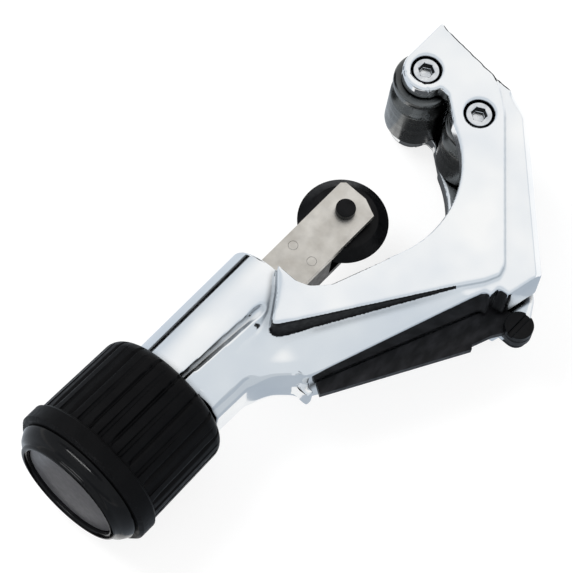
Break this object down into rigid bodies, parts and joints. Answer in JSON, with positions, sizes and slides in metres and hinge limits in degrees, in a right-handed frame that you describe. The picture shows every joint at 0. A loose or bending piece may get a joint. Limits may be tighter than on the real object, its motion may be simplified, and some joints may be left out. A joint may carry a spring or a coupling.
{
  "type": "tube cutter",
  "caption": "Tube cutter with a chromed C-shaped frame, guide rollers, a fork-mounted cutting wheel fed by a black ribbed knob, and a fold-away reamer.",
  "frame": {"origin": "on the feed axis, midway between the two roller axes and midway between the cheeks", "axes": "+X along the feed axis from the knob to the rollers and nose, +Y from the spine to the open side of the C, +Z along the roller axes; the tool lies on one cheek"},
  "size_m": [0.1474, 0.0726, 0.0388],
  "materials": {
    "chromed_zinc": "mirror chrome plate on a zinc casting",
    "roller_steel": "satin ground steel",
    "zinc_plated_steel": "bright zinc plate",
    "nickel_steel": "tumbled satin nickel plate",
    "black_oxide_steel": "black oxide, lightly oiled",
    "plain_steel": "plain turned steel",
    "bronze": "plain sintered bronze",
    "black_satin_plastic": "satin moulded plastic",
    "black_gloss_plastic": "glossy moulded plastic",
    "grey_label": "satin dark grey, bare"
  },
  "bodies": {
    "tool_frame": {"frame": "chromed_zinc", "roller_bolt_upper": "zinc_plated_steel", "roller_bolt_lower": "zinc_plated_steel", "barrel_bush": "bronze", "reamer_screw": "black_oxide_steel", "reamer_washer": "zinc_plated_steel"},
    "upper_guide": {"roller_upper": "roller_steel"},
    "lower_guide": {"roller_lower": "roller_steel"},
    "knob": {"knob_grip": "black_satin_plastic", "knob_end_cap": "black_gloss_plastic", "knob_label_disc": "grey_label", "knob_screw": "zinc_plated_steel", "knob_screw_washer": "zinc_plated_steel", "feed_screw": "plain_steel", "thrust_washer": "zinc_plated_steel"},
    "carriage": {"slide_block": "nickel_steel", "fork_plate_near": "nickel_steel", "fork_plate_far": "nickel_steel", "fork_rivets": "nickel_steel", "wheel_pin": "black_oxide_steel", "wheel_pin_clip": "black_oxide_steel"},
    "wheel": {"cutting_wheel": "black_oxide_steel"},
    "reamer": {"reamer_blade": "black_oxide_steel"}
  },
  "joints": [
    {"name": "knob_turn", "type": "hinge", "parent": "tool_frame", "child": "knob", "pos_m": [-0.12, 0, 0], "axis": [1, 0, 0], "range_deg": [-1080, 2400]},
    {"name": "carriage_slide", "type": "slide", "parent": "tool_frame", "child": "carriage", "axis": [1, 0, 0], "range_m": [-0.009, 0.02]},
    {"name": "wheel_spin", "type": "hinge", "parent": "carriage", "child": "wheel", "pos_m": [-0.038, 0, 0], "axis": [0, 0, 1], "continuous": true},
    {"name": "roller_upper_spin", "type": "hinge", "parent": "tool_frame", "child": "upper_guide", "pos_m": [0, 0.0085, 0], "axis": [0, 0, 1], "continuous": true},
    {"name": "roller_lower_spin", "type": "hinge", "parent": "tool_frame", "child": "lower_guide", "pos_m": [0, -0.0085, 0], "axis": [0, 0, 1], "continuous": true},
    {"name": "reamer_fold", "type": "hinge", "parent": "tool_frame", "child": "reamer", "pos_m": [-0.0309, -0.0496, 0.00115], "axis": [0, 0, 1], "range_deg": [0, 170]}
  ],
  "couplings": [
    {"joint": "carriage_slide", "follows": "knob_turn", "m_per_rad": 0.00047746}
  ]
}
